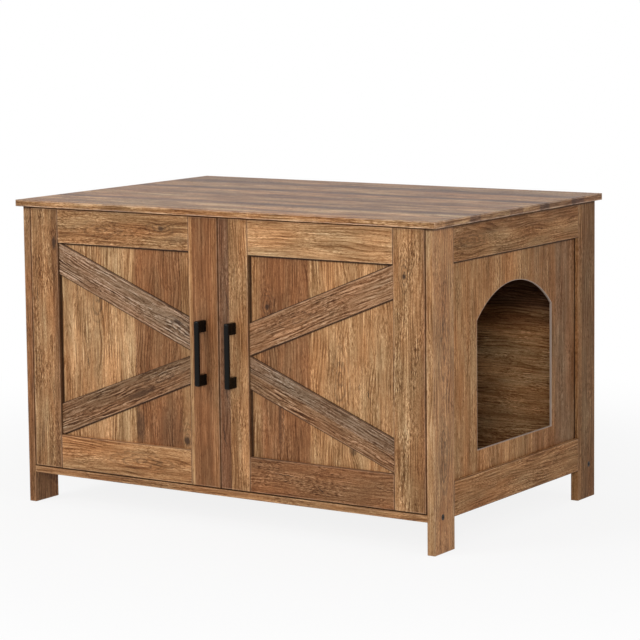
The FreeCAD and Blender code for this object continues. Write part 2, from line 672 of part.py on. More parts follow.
def makeCup(side, height):
    at = (outward(side, "cupX"), height)
    shell = rod("y", ("cupBottomY", "doorBackY"), at, "cupRadius")
    flange = box(mirror(side, ("doorOuterX - flangeOuter", "doorOuterX - flangeInner")),
                 ("doorBackY", "flangeRearY"), around(height, "flangeHalfHeight"))
    tools = [rod("y", ("cupBottomY + cupFloor", "flangeRearY"), at, "cupRadius - cupWall")]
    tools.append(box(mirror(side, ("cupX", "cupX + cupRadius")),
                     ("doorBackY - cupNotchDepth", "flangeRearY"),
                     around(height, "cupNotchHalfHeight")))
    pivot = (outward(side, "cupPivotX"), "cupPivotY")
    tools.append(rod("z", around(height, "cupRadius"), pivot, "cupPinRadius + pinFit"))
    for step in cupScrewSteps:
        screwAt = (outward(side, "cupScrewX"), height + step)
        tools.append(rod("y", ("doorBackY", "flangeRearY"), screwAt, "screwRadius + screwHoleGap"))
    return carved(joined([shell, flange]), tools)


def makeArm(side, height):
    z = around(height, "armHalfHeight")
    pivot = (outward(side, "armPivotX"), "armPivotY")
    knee = (outward(side, "armKneeX"), "armKneeY")
    heel = (outward(side, "armHeelX"), "armHeelY")
    foot = box(mirror(side, ("plateInnerX - armFootThickness", "plateInnerX")),
               ("frontY + armFootFront", "frontY + armFootRear"), z)
    shapes = [rod("z", z, pivot, "linkArmEyeRadius"), rod("z", z, knee, "armWidth / 2"),
              strip(pivot, knee, "armWidth", z), strip(knee, heel, "armWidth", z), foot]
    return carved(joined(shapes), [rod("z", z, pivot, "armPinRadius + pinFit")])


def makeLink(side, height):
    z = around(height, "linkHalfHeight")
    armPivot = (outward(side, "armPivotX"), "armPivotY")
    bend = (outward(side, "linkBendX"), "linkBendY")
    cupPivot = (outward(side, "cupPivotX"), "cupPivotY")
    shapes = [rod("z", z, armPivot, "linkArmEyeRadius"), rod("z", z, bend, "linkWidth / 2"),
              rod("z", z, cupPivot, "linkCupEyeRadius"),
              strip(armPivot, bend, "linkWidth", z), strip(bend, cupPivot, "linkWidth", z)]
    fork = rod("z", around(height, "(armHalfHeight + forkGap)"), armPivot, "linkForkRadius")
    tools = [fork, rod("z", z, armPivot, "armPinRadius + pinPlay"),
             rod("z", z, cupPivot, "cupPinRadius + pinPlay")]
    return carved(joined(shapes), tools)


def makePlate(side, height):
    plate = box(mirror(side, ("plateInnerX", "innerX")),
                ("frontY + plateFront", "frontY + plateRear"), around(height, "plateHalfHeight"))
    holes = [rod("x", mirror(side, ("plateInnerX", "innerX")), ("plateScrewY", height + step),
                 "screwRadius + screwHoleGap") for step in plateScrewSteps]
    return carved(plate, holes)


def woodScrew(axis, side, at, head, shank):
    if axis == "x":
        head, shank = mirror(side, head), mirror(side, shank)
    return joined([rod(axis, head, at, "screwHeadRadius"), rod(axis, shank, at, "screwRadius")])


for name, side in sides.items():
    cups, arms, links, plates, armPins, cupPins = [], [], [], [], [], []
    cupScrews, plateScrews = [], []
    for height in hingeHeights:
        cups.append(makeCup(side, height))
        arms.append(makeArm(side, height))
        links.append(makeLink(side, height))
        plates.append(makePlate(side, height))
        armPivot = (outward(side, "armPivotX"), "armPivotY")
        armPins.append(rod("z", around(height, "linkHalfHeight"), armPivot, "armPinRadius"))
        cupPivot = (outward(side, "cupPivotX"), "cupPivotY")
        cupPins.append(rod("z", around(height, "cupPinHalfLength"), cupPivot, "cupPinRadius"))
        for step in cupScrewSteps:
            at = (outward(side, "cupScrewX"), height + step)
            cupScrews.append(woodScrew("y", side, at, ("flangeRearY", "flangeRearY + screwHead"),
                                       ("doorBackY - screwBite", "flangeRearY")))
        for step in plateScrewSteps:
            at = ("plateScrewY", height + step)
            plateScrews.append(woodScrew("x", side, at, ("plateInnerX - screwHead", "plateInnerX"),
                                         ("plateInnerX", "innerX + screwBite")))
    for word, solids in (("cups", cups), ("arms", arms), ("links", links), ("plates", plates),
                         ("arm_pins", armPins), ("cup_pins", cupPins),
                         ("cup_screws", cupScrews), ("plate_screws", plateScrews)):
        keep(grouped(solids), "%s_hinge_%s" % (name, word))

# ---- build, check and write ----

doc.recompute()
for thing in doc.Objects:
    if "Invalid" in thing.State or "Error" in thing.State:
        raise RuntimeError("%s (%s) failed: %s" % (thing.Name, thing.Label, thing.State))
os.makedirs("parts", exist_ok=True)
for piece in subparts:
    shape = piece.Shape
    if shape.isNull() or not shape.isValid() or not shape.Solids:
        raise RuntimeError(piece.Label + " has no valid solid")
    shape.exportStep("parts/%s.step" % piece.Label)
    print("%-28s solids %2d  volume %10.1f" % (piece.Label, len(shape.Solids), shape.Volume))
print(len(subparts), "sub-parts written")
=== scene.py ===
import math
import bpy
from mathutils import Matrix, Vector


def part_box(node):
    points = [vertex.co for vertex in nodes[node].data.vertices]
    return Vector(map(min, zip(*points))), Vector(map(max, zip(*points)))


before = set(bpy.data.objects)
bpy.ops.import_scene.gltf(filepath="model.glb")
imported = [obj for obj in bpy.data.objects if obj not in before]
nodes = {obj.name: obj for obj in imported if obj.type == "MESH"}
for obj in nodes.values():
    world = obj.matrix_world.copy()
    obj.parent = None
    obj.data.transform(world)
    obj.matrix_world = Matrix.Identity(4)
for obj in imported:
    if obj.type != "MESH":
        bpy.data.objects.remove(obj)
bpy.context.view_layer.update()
print("frame loaded:", len(nodes), "nodes")

# Litter box cabinet in a rustic brown wood print, with black pulls and a pale studio round it.
# Lengths are in metres, and in millimetres inside the wood print.
millimetres = 1000.0  # in a metre


# helpers for shader trees: a value may be a number or another node's socket
def plug(tree, socket, value):
    if isinstance(value, bpy.types.NodeSocket):
        tree.links.new(value, socket)
    elif value is not None:
        socket.default_value = value


def calc(tree, how, *values):
    node = tree.nodes.new("ShaderNodeMath")
    node.operation = how
    for socket, value in zip(node.inputs, values):
        plug(tree, socket, value)
    return node.outputs[0]


def vectorCalc(tree, how, *values):
    node = tree.nodes.new("ShaderNodeVectorMath")
    node.operation = how
    sockets = [node.inputs[0], node.inputs["Scale"]] if how == "SCALE" else node.inputs
    for socket, value in zip(sockets, values):
        plug(tree, socket, value)
    return node.outputs["Value" if how in ("DOT_PRODUCT", "LENGTH", "DISTANCE") else "Vector"]


def joinXyz(tree, x, y, z=0.0):
    node = tree.nodes.new("ShaderNodeCombineXYZ")
    for socket, value in zip(node.inputs, (x, y, z)):
        plug(tree, socket, value)
    return node.outputs[0]


def splitXyz(tree, vector):
    node = tree.nodes.new("ShaderNodeSeparateXYZ")
    plug(tree, node.inputs[0], vector)
    return node.outputs


def noise(tree, vector, detail=3.0, roughness=0.55):
    node = tree.nodes.new("ShaderNodeTexNoise")
    plug(tree, node.inputs["Vector"], vector)
    plug(tree, node.inputs["Scale"], 1.0)
    plug(tree, node.inputs["Detail"], detail)
    plug(tree, node.inputs["Roughness"], roughness)
    return node.outputs["Fac"]


def remap(tree, value, low, high, newLow=0.0, newHigh=1.0, smooth=False):
    node = tree.nodes.new("ShaderNodeMapRange")
    node.interpolation_type = "SMOOTHSTEP" if smooth else "LINEAR"
    for name, number in (("Value", value), ("From Min", low), ("From Max", high),
                         ("To Min", newLow), ("To Max", newHigh)):
        plug(tree, node.inputs[name], number)
    return node.outputs["Result"]


def blendColours(tree, factor, a, b, how="MIX"):
    node = tree.nodes.new("ShaderNodeMix")
    node.data_type = "RGBA"
    node.blend_type = how
    plug(tree, node.inputs["Factor"], factor)
    plug(tree, [s for s in node.inputs if s.name == "A" and s.type == "RGBA"][0], a)
    plug(tree, [s for s in node.inputs if s.name == "B" and s.type == "RGBA"][0], b)
    return [s for s in node.outputs if s.type == "RGBA"][0]


def blendVectors(tree, factor, a, b):
    node = tree.nodes.new("ShaderNodeMix")
    node.data_type = "VECTOR"
    plug(tree, node.inputs["Factor"], factor)
    plug(tree, [s for s in node.inputs if s.name == "A" and s.type == "VECTOR"][0], a)
    plug(tree, [s for s in node.inputs if s.name == "B" and s.type == "VECTOR"][0], b)
    return [s for s in node.outputs if s.type == "VECTOR"][0]


def newGroup(name, inputs, outputs):
    # an empty node group: gives its tree, the sockets that bring values in, and those that take them out
    tree = bpy.data.node_groups.new(name, "ShaderNodeTree")
    kinds = {"f": "NodeSocketFloat", "v": "NodeSocketVector", "c": "NodeSocketColor"}
    for word, kind in inputs:
        tree.interface.new_socket(name=word, in_out="INPUT", socket_type=kinds[kind])
    for word, kind in outputs:
        tree.interface.new_socket(name=word, in_out="OUTPUT", socket_type=kinds[kind])
    given = tree.nodes.new("NodeGroupInput").outputs
    made = tree.nodes.new("NodeGroupOutput").inputs
    return tree, given, made


def placeGroup(tree, group, **values):
    # puts a group in a material; a value's name is the socket's with its spaces left out
    node = tree.nodes.new("ShaderNodeGroup")
    node.node_tree = group
    words = {s.name.replace(" ", "").lower(): s for s in node.inputs}
    for word, value in values.items():
        plug(tree, words[word.lower()], value)
    return node.outputs


def linear(red, green, blue):
    # a colour given in screen values, 0 to 255, as the shader wants it
    def one(v):
        v /= 255
        return v / 12.92 if v <= 0.04045 else ((v + 0.055) / 1.055) ** 2.4
    return (one(red), one(green), one(blue), 1.0)


def newMaterial(name):
    material = bpy.data.materials.new(name)
    material.use_nodes = True
    tree = material.node_tree
    shader = tree.nodes["Principled BSDF"]
    return material, tree, shader


def dress(node, material):
    piece = nodes[node]
    for place in piece.material_slots:
        place.link = "OBJECT"
        place.material = material


# the wood print: groups that every board shares
endFacing = 0.7  # how squarely a face must look along the grain to count as a board's end


def makeBoardSpace():
    # turns a place on a board into millimetres across, along and through its grain;
    # on the ends of a board the print runs the long way, as edge banding does
    tree, given, made = newGroup("boardSpace",
                                 [("Point", "v"), ("Facing", "v"), ("Along", "v"),
                                  ("Across", "v"), ("Deep", "v")],
                                 [("Place", "v"), ("Print", "v")])
    point = vectorCalc(tree, "SCALE", given["Point"], millimetres)
    along, across, deep = (vectorCalc(tree, "DOT_PRODUCT", point, given[word])
                           for word in ("Along", "Across", "Deep"))
    plug(tree, made["Place"], joinXyz(tree, across, along, deep))
    side = joinXyz(tree, calc(tree, "ADD", across, deep), along)
    end = joinXyz(tree, calc(tree, "ADD", along, deep), across)
    facing = calc(tree, "ABSOLUTE", vectorCalc(tree, "DOT_PRODUCT", given["Facing"], given["Along"]))
    onEnd = calc(tree, "GREATER_THAN", facing, endFacing)
    plug(tree, made["Print"], blendVectors(tree, onEnd, side, end))
    return tree


# shapes of the single marks; what ends in Across, Along or Each is a count of waves to the millimetre
markShapes = {
    "wearEach": 0.06, "wornStart": 1.6,
    "ragAcross": 0.30, "ragAlong": 0.09, "rag": 1.6, "pushFall": -0.12, "push": 2.2,
    "waverAcross": 0.07, "waverAlong": 0.025, "waver": 0.7, "loopCrowding": 0.8, "loopCount": 5.0,
    "wobbleAlong": 0.09, "wobble": 11.0,
}


def insetFrom(tree, given):
    # how far a place lies inside each pair of faces of a box
    off = vectorCalc(tree, "ABSOLUTE", vectorCalc(tree, "SUBTRACT", given["Place"], given["Middle"]))
    return splitXyz(tree, vectorCalc(tree, "SUBTRACT", given["Half"], off))


def fromCentre(tree, given):
    # a mark's own place across and along the grain
    return splitXyz(tree, vectorCalc(tree, "SUBTRACT", given["Place"], given["Centre"]))[:2]


def ovalDistance(tree, given, x, y):
    # 0 at the middle of an oval mark and 1 at its rim
    oval = joinXyz(tree, calc(tree, "DIVIDE", x, given["Wide"]), calc(tree, "DIVIDE", y, given["Long"]))
    return vectorCalc(tree, "LENGTH", oval)


def makeEdgeLines():
    # masks along the edges of a box-shaped board: the dark joint itself (round a panel's opening it serves
    # as painted corner shade), and a pale line inside it, a painted edge highlight that is patchy like wear
    tree, given, made = newGroup("edgeLines",
                                 [("Place", "v"), ("Middle", "v"), ("Half", "v"), ("Width", "f")],
                                 [("Joint", "f"), ("Worn", "f")])
    x, y, z = insetFrom(tree, given)
    nearer, further = calc(tree, "MINIMUM", x, y), calc(tree, "MAXIMUM", x, y)
    inset = calc(tree, "MAXIMUM", nearer, calc(tree, "MINIMUM", further, z))
    spread = vectorCalc(tree, "SCALE", given["Place"], markShapes["wearEach"])
    patchy = remap(tree, noise(tree, spread), 0.35, 0.6, 0.3, 1.0)
    plug(tree, made["Joint"], remap(tree, inset, calc(tree, "MULTIPLY", given["Width"], 0.5),
                                    given["Width"], 1.0, 0.0, smooth=True))
    past = calc(tree, "SUBTRACT", inset, calc(tree, "MULTIPLY", given["Width"], markShapes["wornStart"]))
    mask = remap(tree, calc(tree, "ABSOLUTE", past), 0.0, given["Width"], 1.0, 0.0, smooth=True)
    plug(tree, made["Worn"], calc(tree, "MULTIPLY", mask, patchy))
    return tree


def makeSpot():
    # a knot or a dark stain: a ragged oval, and a push that bends the grain round it
    tree, given, made = newGroup("spot", [("Place", "v"), ("Centre", "v"), ("Wide", "f"), ("Long", "f")],
                                 [("Mask", "f"), ("Push", "f")])
    x, y = fromCentre(tree, given)
    across, along = splitXyz(tree, given["Place"])[:2]
    rag = noise(tree, joinXyz(tree, calc(tree, "MULTIPLY", across, markShapes["ragAcross"]),
                              calc(tree, "MULTIPLY", along, markShapes["ragAlong"])), 4.0, 0.7)
    far = ovalDistance(tree, given, x, y)
    rag = calc(tree, "MULTIPLY", calc(tree, "SUBTRACT", rag, 0.5), markShapes["rag"])
    plug(tree, made["Mask"], remap(tree, calc(tree, "ADD", far, rag), 0.45, 1.25, 1.0, 0.0, smooth=True))
    fall = calc(tree, "MULTIPLY", calc(tree, "MULTIPLY", far, far), markShapes["pushFall"])
    plug(tree, made["Push"], calc(tree, "MULTIPLY", calc(tree, "EXPONENT", fall),
                                  calc(tree, "MULTIPLY", given["Wide"], markShapes["push"])))
    return tree


def makeLoops():
    # cathedral figure: dark growth lines in long loops round a centre, fading outwards
    tree, given, made = newGroup("loops", [("Place", "v"), ("Centre", "v"), ("Wide", "f"), ("Long", "f")],
                                 [("Mask", "f")])
    x, y = fromCentre(tree, given)
    waver = noise(tree, joinXyz(tree, calc(tree, "MULTIPLY", x, markShapes["waverAcross"]),
                                calc(tree, "MULTIPLY", y, markShapes["waverAlong"]), given["Wide"]),
                  3.0, 0.6)
    far = calc(tree, "ADD", ovalDistance(tree, given, x, y),
               calc(tree, "MULTIPLY", waver, markShapes["waver"]))
    step = calc(tree, "POWER", far, markShapes["loopCrowding"])
    step = calc(tree, "FRACT", calc(tree, "MULTIPLY", step, markShapes["loopCount"]))
    line = calc(tree, "MULTIPLY", remap(tree, step, 0.35, 0.85, smooth=True),
                remap(tree, step, 0.85, 1.0, 1.0, 0.0))
    fade = remap(tree, far, 0.55, 1.45, 1.0, 0.0, smooth=True)
    plug(tree, made["Mask"], calc(tree, "MULTIPLY", line, fade))
    return tree


def makeInside():
    # 1 inside a box, 0 outside it
    tree, given, made = newGroup("inside", [("Place", "v"), ("Middle", "v"), ("Half", "v")], [("Mask", "f")])
    x, y, z = insetFrom(tree, given)
    least = calc(tree, "MINIMUM", calc(tree, "MINIMUM", x, y), z)
    plug(tree, made["Mask"], calc(tree, "GREATER_THAN", least, 0.0))
    return tree


def makeSplit():
    # one long drying crack that wanders with the grain
    tree, given, made = newGroup("split", [("Place", "v"), ("Centre", "v"), ("Length", "f"),
                                           ("Width", "f"), ("Lean", "f")], [("Mask", "f")])
    x, y = fromCentre(tree, given)
    wobble = noise(tree, joinXyz(tree, 0.0, calc(tree, "MULTIPLY", y, markShapes["wobbleAlong"]),
                                 given["Length"]), 4.0, 0.75)
    wobble = calc(tree, "MULTIPLY", calc(tree, "SUBTRACT", wobble, 0.5), markShapes["wobble"])
    x = calc(tree, "ADD", x, wobble)
    x = calc(tree, "ABSOLUTE", calc(tree, "ADD", x, calc(tree, "MULTIPLY", y, given["Lean"])))
    ending = calc(tree, "DIVIDE", calc(tree, "ABSOLUTE", y), calc(tree, "MULTIPLY", given["Length"], 0.5))
    taper = calc(tree, "MULTIPLY", given["Width"], remap(tree, ending, 0.3, 1.0, 1.0, 0.0))
    plug(tree, made["Mask"], remap(tree, calc(tree, "SUBTRACT", taper, x), -0.25, 0.35, smooth=True))
    return tree


# each mark of the print: its size across and along the grain, in millimetres
printSizes = {
    "drift": (55, 260), "weave": (15, 90), "wander": (48, 230), "growth": (4.5, 420),
    "fibre": (1.4, 60), "blotch": (30, 120), "ringZone": (30, 110), "squirm": (6, 20),
    "wrinkle": (1.25, 8.0), "dryZone": (22, 80), "grit": (1.4, 3.2), "pores": (1.1, 11.0),
    "stain": (9, 150), "sway": (10, 75), "roughZone": (20, 90), "broken": (6, 55), "hue": (40, 190),
}
# how far the grain wanders, in millimetres, and how strong the marks are
printStrengths = {
    "drift": 16.0, "weave": 3.0, "wander": 46.0, "squirm": 2.6, "sway": 15.0,
    "growth": 0.40, "fibre": 0.58, "blotch": 0.30, "ring": 0.5, "wrinkle": 0.95,
    "paleWrinkle": 0.5, "grit": 0.20, "pores": 0.36, "stain": 0.36, "lip": 0.27, "furrow": 0.72,
}
printLook = {
    "ringSpacing": 6.2, "furrowSpacing": 5.2, "lift": 0.07, "palest": 0.5, "darkest": -1.0,
    "roughness": 0.44, "knot": linear(56, 38, 27), "seedStep": 37.7,
    # how much red, green and blue change with light: darker marks are redder, paler ones creamier
    "spread": (5.2, 8.0, 13.0),
    # the print drifts between these two tints
    "golden": (1.07, 0.96, 0.86), "reddish": (0.95, 1.03, 1.06),
}


def makeWoodPrint():
    # Tone comes in as the board's colour; the rest are strengths from 0 to about 1
    tree, given, made = newGroup("woodPrint",
                                 [("Print", "v"), ("Push", "f"), ("Dark", "f"), ("Tone", "c"),
                                  ("Seed", "f"), ("Streaks", "f"), ("Crackle", "f"),
                                  ("Blotches", "f"), ("Rings", "f"), ("Furrows", "f")],
                                 [("Color", "c"), ("Roughness", "f"), ("Height", "f")])
    x, y = splitXyz(tree, given["Print"])[:2]
    seed = calc(tree, "MULTIPLY", given["Seed"], printLook["seedStep"])
    x = calc(tree, "ADD", x, given["Push"])

    def field(mark, shift, detail=3.0, roughness=0.55, across=x):
        wide, long = printSizes[mark]
        place = joinXyz(tree, calc(tree, "MULTIPLY", across, 1 / wide),
                        calc(tree, "MULTIPLY", y, 1 / long), calc(tree, "ADD", seed, shift))
        return noise(tree, place, detail, roughness)

    def times(*values):
        result = values[0]
        for value in values[1:]:
            result = calc(tree, "MULTIPLY", result, value)
        return result

    def total(*values):
        result = values[0]
        for value in values[1:]:
            result = calc(tree, "ADD", result, value)
        return result

    def centred(mark, value):
        return times(calc(tree, "SUBTRACT", value, 0.5), printStrengths[mark])

    # the fibres run nearly straight, the growth rings wander into long loops
    drift = centred("drift", field("drift", 1, 2.0, 0.5))
    straight = total(x, drift, centred("weave", field("weave", 2, 2.0, 0.5)))
    bent = total(straight, centred("wander", field("wander", 17, 2.0, 0.5)))
    growth = centred("growth", remap(tree, field("growth", 3, 4.0, 0.74, straight), 0.3, 0.7))
    fibre = centred("fibre", remap(tree, field("fibre", 4, 4.0, 0.75, straight), 0.32, 0.68))
    blotch = centred("blotch", remap(tree, field("blotch", 12, 4.0, 0.6), 0.32, 0.68))
    # late wood: a dark line on one side of each growth ring
    ringStep = calc(tree, "FRACT", calc(tree, "DIVIDE", bent, printLook["ringSpacing"]))
    ringZone = remap(tree, field("ringZone", 5, 2.0, 0.5), 0.46, 0.58, smooth=True)
    ring = times(remap(tree, ringStep, 0.3, 0.93, smooth=True), remap(tree, ringStep, 0.93, 1.0, 1.0, 0.0),
                 ringZone, printStrengths["ring"])
    # dry crackle: short wrinkles in dry patches, dark ones at full strength and pale ones at less
    squirm = total(straight, centred("squirm", field("squirm", 7, 2.0, 0.5)))
    wrinkle = centred("wrinkle", remap(tree, field("wrinkle", 8, 2.0, 0.66, squirm), 0.36, 0.64))
    dryZone = remap(tree, field("dryZone", 9, 3.0, 0.6), 0.45, 0.6, 0.12, 1.0, smooth=True)
    paleWrinkle = times(calc(tree, "MAXIMUM", wrinkle, 0.0), printStrengths["paleWrinkle"])
    dry = times(total(calc(tree, "MINIMUM", wrinkle, 0.0), paleWrinkle), dryZone)
    grit = centred("grit", remap(tree, field("grit", 10, 1.0, 0.6), 0.3, 0.7))
    pores = times(remap(tree, field("pores", 11, 2.0, 0.6, straight), 0.57, 0.67, smooth=True),
                  printStrengths["pores"])
    stain = times(remap(tree, field("stain", 13, 4.0, 0.68, straight), 0.57, 0.76, smooth=True),
                  printStrengths["stain"])
    # furrows: weathered growth lines side by side, each with a pale lip, broken up along their way
    lines = total(x, drift, centred("sway", field("sway", 14, 3.0, 0.6)))
    wave = calc(tree, "SINE", times(lines, 2 * math.pi / printLook["furrowSpacing"]))
    rough = remap(tree, field("roughZone", 18, 2.0, 0.5), 0.44, 0.6, 0.7, 1.5, smooth=True)
    broken = remap(tree, field("broken", 15, 3.0, 0.72), 0.38, 0.6, smooth=True)
    broken = times(broken, rough, given["Furrows"])
    furrow = times(calc(tree, "MAXIMUM", wave, 0.0), broken)
    lip = times(calc(tree, "MAXIMUM", calc(tree, "MULTIPLY", wave, -1.0), 0.0), broken)

    paler = total(printLook["lift"], times(total(growth, fibre), given["Streaks"]),
                  times(total(dry, grit), given["Crackle"]), times(lip, printStrengths["lip"]))
    darker = total(times(ring, given["Rings"]), pores, times(stain, given["Blotches"]),
                   times(furrow, printStrengths["furrow"]))
    light = total(calc(tree, "SUBTRACT", paler, darker), times(blotch, given["Blotches"]))
    light = calc(tree, "MAXIMUM", calc(tree, "MINIMUM", light, printLook["palest"]), printLook["darkest"])
    factor = joinXyz(tree, *(calc(tree, "POWER", base, light) for base in printLook["spread"]))
    colour = vectorCalc(tree, "MULTIPLY", given["Tone"], factor)
    hue = remap(tree, field("hue", 16, 3.0, 0.6), 0.36, 0.64)
    colour = vectorCalc(tree, "MULTIPLY", colour,
                        blendVectors(tree, hue, printLook["golden"], printLook["reddish"]))
    colour = blendColours(tree, given["Dark"], colour, printLook["knot"])
    plug(tree, made["Color"], colour)
    plug(tree, made["Roughness"], total(printLook["roughness"], times(grit, 0.5), times(pores, 0.3)))
    plug(tree, made["Height"], calc(tree, "SUBTRACT", times(light, 0.6), total(given["Dark"], furrow)))
    return tree


boardSpace = makeBoardSpace()
edgeLines = makeEdgeLines()
spotGroup = makeSpot()
splitGroup = makeSplit()
loopGroup = makeLoops()
insideGroup = makeInside()
woodPrint = makeWoodPrint()
print("wood groups ready")

tones = {
    "straw": linear(172, 131, 91),
    "honey": linear(161, 120, 81),
    "amber": linear(149, 108, 71),
    "chestnut": linear(138, 97, 63),
    "russet": linear(130, 88, 56),
    "umber": linear(106, 72, 49),
    "walnut": linear(141, 102, 67),
    "toffee": linear(122, 87, 57),
    "ash": linear(132, 102, 78),
    "bark": linear(120, 88, 62),
}
# the colour of the dark joints, and of the painted shade round panels, along braces, under the top and on
# the stepped faces
jointAndShadeTone = linear(50, 31, 20)
woodLook = {
    "streaks": 1.0, "crackle": 0.8, "blotches": 0.7, "rings": 0.7, "furrows": 0.0,
    "edgeWidth": 1.0, "worn": 0.55, "grime": 4.6, "bump": 0.3, "bumpDepth": 0.0004, "seam": 0.01,
    "shine": 0.16, "wornTone": linear(190, 150, 118),
    "spots": (), "splits": (), "loops": (),
}
# how dark the dark joints, the splits and the painted shade are, and where the painted shade starts and
# fades out in millimetres
shading = {
    "joint": 0.75, "split": 0.85, "grime": 0.9, "aboveBrace": (0.5, 2.2), "belowBrace": (1.2, 3.4),
    "underLid": 0.85, "lidReach": (2.0, 6.0), "reveal": 0.72,
}
# the arch's pale raw edge, with a painted edge highlight round it on the face; sizes in millimetres from the
# floor and from the part's middle
arch = {
    "wide": 268.0, "sill": 155.0, "spring": 379.5, "rise": 55.5, "middle": 7.25, "line": 1.5,
    "strength": 0.85, "tone": linear(176, 158, 146),
}
# grain along, across and through each kind of board
grainWays = {
    "level": ((1, 0, 0), (0, 0, 1), (0, 1, 0)),
    "flat": ((1, 0, 0), (0, 1, 0), (0, 0, 1)),
    "upright": ((0, 0, 1), (1, 0, 0), (0, 1, 0)),
    "uprightSide": ((0, 0, 1), (0, 1, 0), (1, 0, 0)),
    "levelSide": ((0, 1, 0), (0, 0, 1), (1, 0, 0)),
}


def paintedBraceShade(tree, point, brace):
    # painted shade along both long edges of a brace, as a mask round it
    shape = braceShape(brace)
    sides = []
    for edge, reach in (("top", "aboveBrace"), ("underside", "belowBrace")):
        start, way = shape[edge]
        away = calc(tree, "SUBTRACT", vectorCalc(tree, "DOT_PRODUCT", point, way), way.dot(start))
        sides.append(remap(tree, away, *shading[reach], 1.0, 0.0, smooth=True))
    return calc(tree, "MULTIPLY", *sides)


def archRim(tree, point):
    # a thin painted edge highlight on the face round the arch, and the pale raw cut itself
    y, z = splitXyz(tree, point)[1:]
    sideways = calc(tree, "ABSOLUTE", calc(tree, "SUBTRACT", y, arch["middle"]))
    radius = (arch["wide"] ** 2 / 4 + arch["rise"] ** 2) / (2 * arch["rise"])
    up = calc(tree, "SUBTRACT", z, arch["spring"] + arch["rise"] - radius)
    curve = calc(tree, "SUBTRACT", vectorCalc(tree, "LENGTH", joinXyz(tree, sideways, up)), radius)
    outside = calc(tree, "MAXIMUM", calc(tree, "SUBTRACT", sideways, arch["wide"] / 2), curve)
    outside = calc(tree, "MAXIMUM", outside, calc(tree, "SUBTRACT", arch["sill"], z))
    return remap(tree, outside, arch["line"] * 0.6, arch["line"], 1.0, 0.0)


def plankColour(tree, share, planks, seam):
    # a board printed as planks side by side; share runs from 0 to 1 across it
    ramp = tree.nodes.new("ShaderNodeValToRGB")
    plug(tree, ramp.inputs[0], share)
    stops = ramp.color_ramp.elements
    shades = [Vector(tones[tone][:3]) * bright for start, tone, bright in planks]
    stops[0].position, stops[0].color = 0.0, (*shades[0], 1)
    stops.remove(stops[1])
    for plank, before, shade in zip(planks[1:], shades, shades[1:]):
        stops.new(plank[0] - seam).color = (*before, 1)
        stops.new(plank[0] + seam).color = (*shade, 1)
    return ramp.outputs["Color"]


